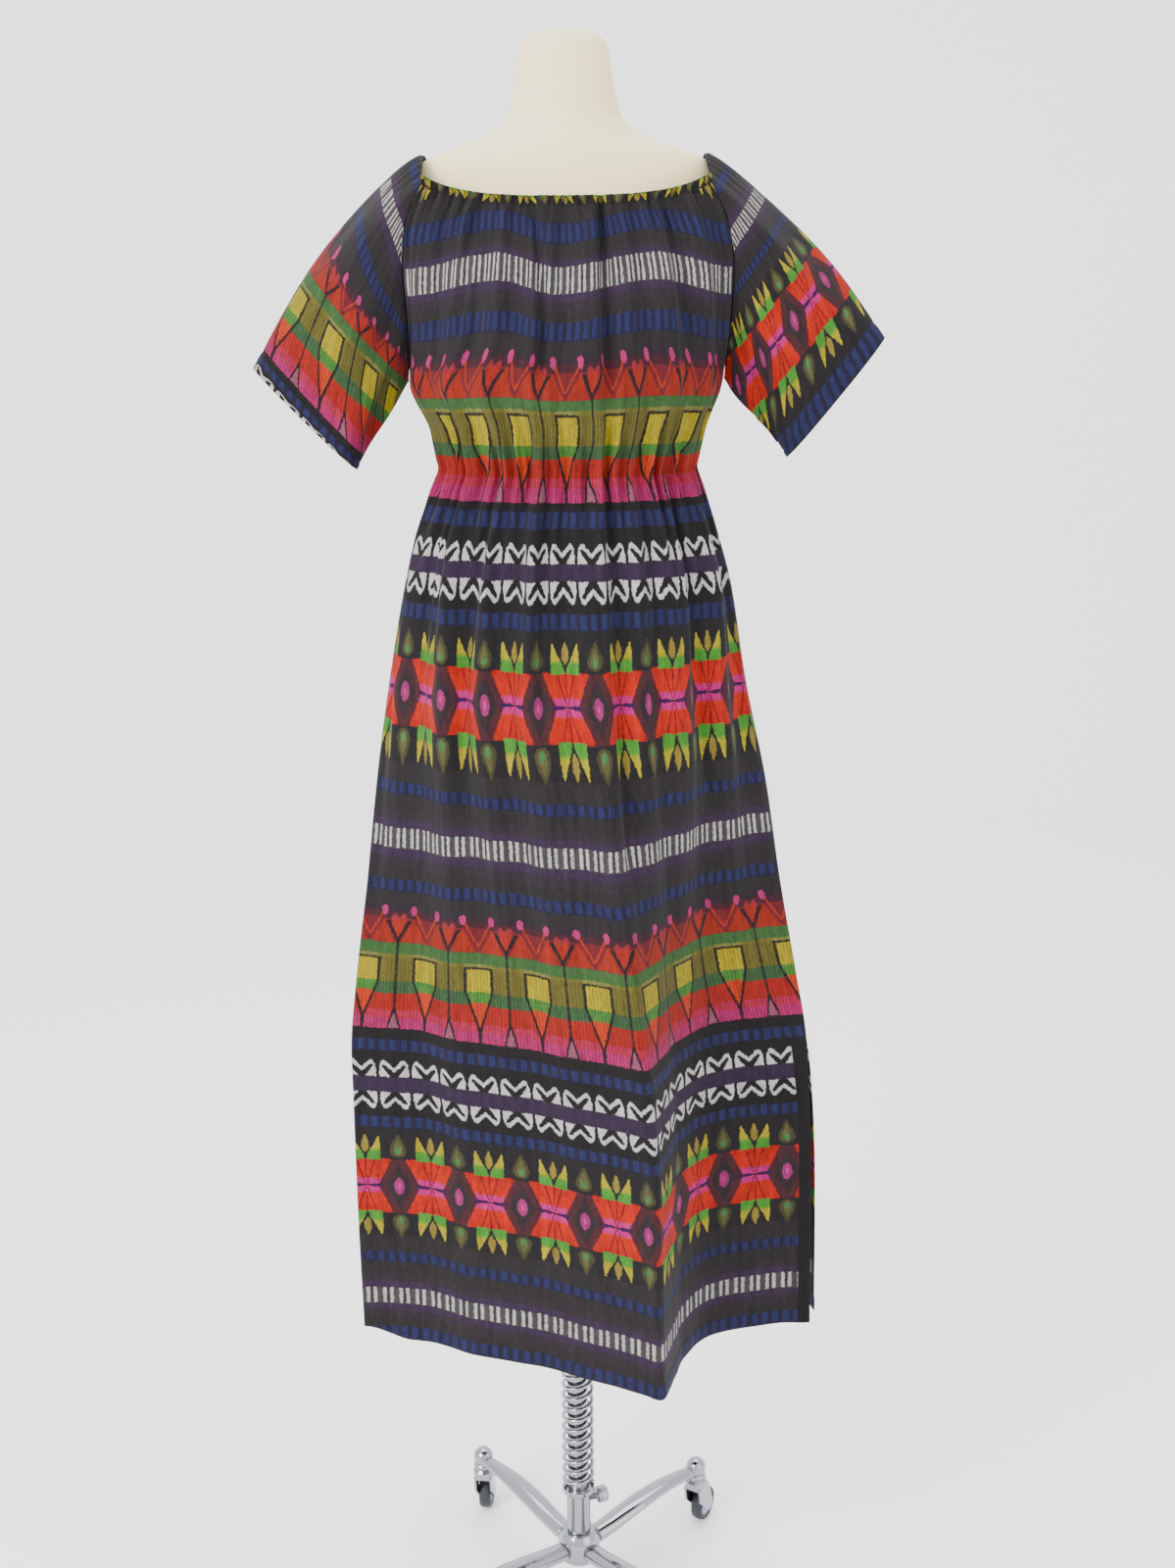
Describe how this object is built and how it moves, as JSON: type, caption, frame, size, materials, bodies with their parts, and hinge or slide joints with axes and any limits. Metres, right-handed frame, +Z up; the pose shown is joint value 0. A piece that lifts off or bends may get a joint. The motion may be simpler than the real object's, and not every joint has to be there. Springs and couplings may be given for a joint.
{
  "type": "huipil dress on a limbless dress form with a wheeled stand",
  "caption": "Banded handwoven cotton dress, gathered at neck and waist, on a limbless form over a sprung pole and a wheeled cross base.",
  "frame": {"origin": "on the floor under the middle of the pole", "axes": "+Z up along the pole, -Y towards the front of the dress, +X to the wearer's left, which is the right as the front is looked at"},
  "size_m": [0.612, 0.3801, 1.717],
  "materials": {
    "cotton": "treadle-loomed cotton, charcoal with woven bands of many colours",
    "linen": "cream linen cover, smooth and taut",
    "chrome": "bright chrome plate",
    "tyre": "satin black rubber tyre"
  },
  "bodies": {
    "base": {"spring": "chrome", "base_tube": "chrome", "base_sleeve": "chrome", "hub": "chrome", "leg_back_right": "chrome", "leg_back_left": "chrome", "leg_front_left": "chrome", "leg_front_right": "chrome"},
    "upper": {"front_panel": "cotton", "back_panel": "cotton", "sleeve_left": "cotton", "sleeve_right": "cotton", "neck_casing_front": "cotton", "neck_casing_back": "cotton", "form_body": "linen", "form_plate": "chrome", "pole": "chrome", "pole_stop": "chrome"},
    "clamp": {"clamp_screw": "chrome"},
    "caster_back_right": {"caster_yoke_back_right": "chrome"},
    "wheel_back_right": {"caster_wheel_back_right": "tyre"},
    "caster_back_left": {"caster_yoke_back_left": "chrome"},
    "wheel_back_left": {"caster_wheel_back_left": "tyre"},
    "caster_front_left": {"caster_yoke_front_left": "chrome"},
    "wheel_front_left": {"caster_wheel_front_left": "tyre"},
    "caster_front_right": {"caster_yoke_front_right": "chrome"},
    "wheel_front_right": {"caster_wheel_front_right": "tyre"}
  },
  "joints": [
    {"name": "height_slide", "type": "slide", "parent": "base", "child": "upper", "axis": [0, 0, 1], "range_m": [-0.1, 0.12], "deforming": ["spring"]},
    {"name": "swivel_back_right", "type": "hinge", "parent": "base", "child": "caster_back_right", "pos_m": [0.14388, 0.11945, 0.07], "axis": [0, 0, 1], "continuous": true},
    {"name": "roll_back_right", "type": "hinge", "parent": "caster_back_right", "child": "wheel_back_right", "pos_m": [0.15388, 0.13677, 0.02074], "axis": [-0.866, 0.5, 0], "continuous": true},
    {"name": "swivel_back_left", "type": "hinge", "parent": "base", "child": "caster_back_left", "pos_m": [-0.11945, 0.14388, 0.07], "axis": [0, 0, 1], "continuous": true},
    {"name": "roll_back_left", "type": "hinge", "parent": "caster_back_left", "child": "wheel_back_left", "pos_m": [-0.11736, 0.16377, 0.02074], "axis": [-0.9945, 0.1045, 0], "continuous": true},
    {"name": "swivel_front_left", "type": "hinge", "parent": "base", "child": "caster_front_left", "pos_m": [-0.14388, -0.11945, 0.07], "axis": [0, 0, 1], "continuous": true},
    {"name": "roll_front_left", "type": "hinge", "parent": "caster_front_left", "child": "wheel_front_left", "pos_m": [-0.16026, -0.13092, 0.02074], "axis": [0.5736, -0.8192, 0], "continuous": true},
    {"name": "swivel_front_right", "type": "hinge", "parent": "base", "child": "caster_front_right", "pos_m": [0.11945, -0.14388, 0.07], "axis": [0, 0, 1], "continuous": true},
    {"name": "roll_front_right", "type": "hinge", "parent": "caster_front_right", "child": "wheel_front_right", "pos_m": [0.12945, -0.1612, 0.02074], "axis": [0.866, 0.5, 0], "continuous": true},
    {"name": "clamp_turn", "type": "hinge", "parent": "base", "child": "clamp", "pos_m": [0.0127, 0.00565, 0.126], "axis": [0.9135, 0.4067, 0], "continuous": true}
  ]
}
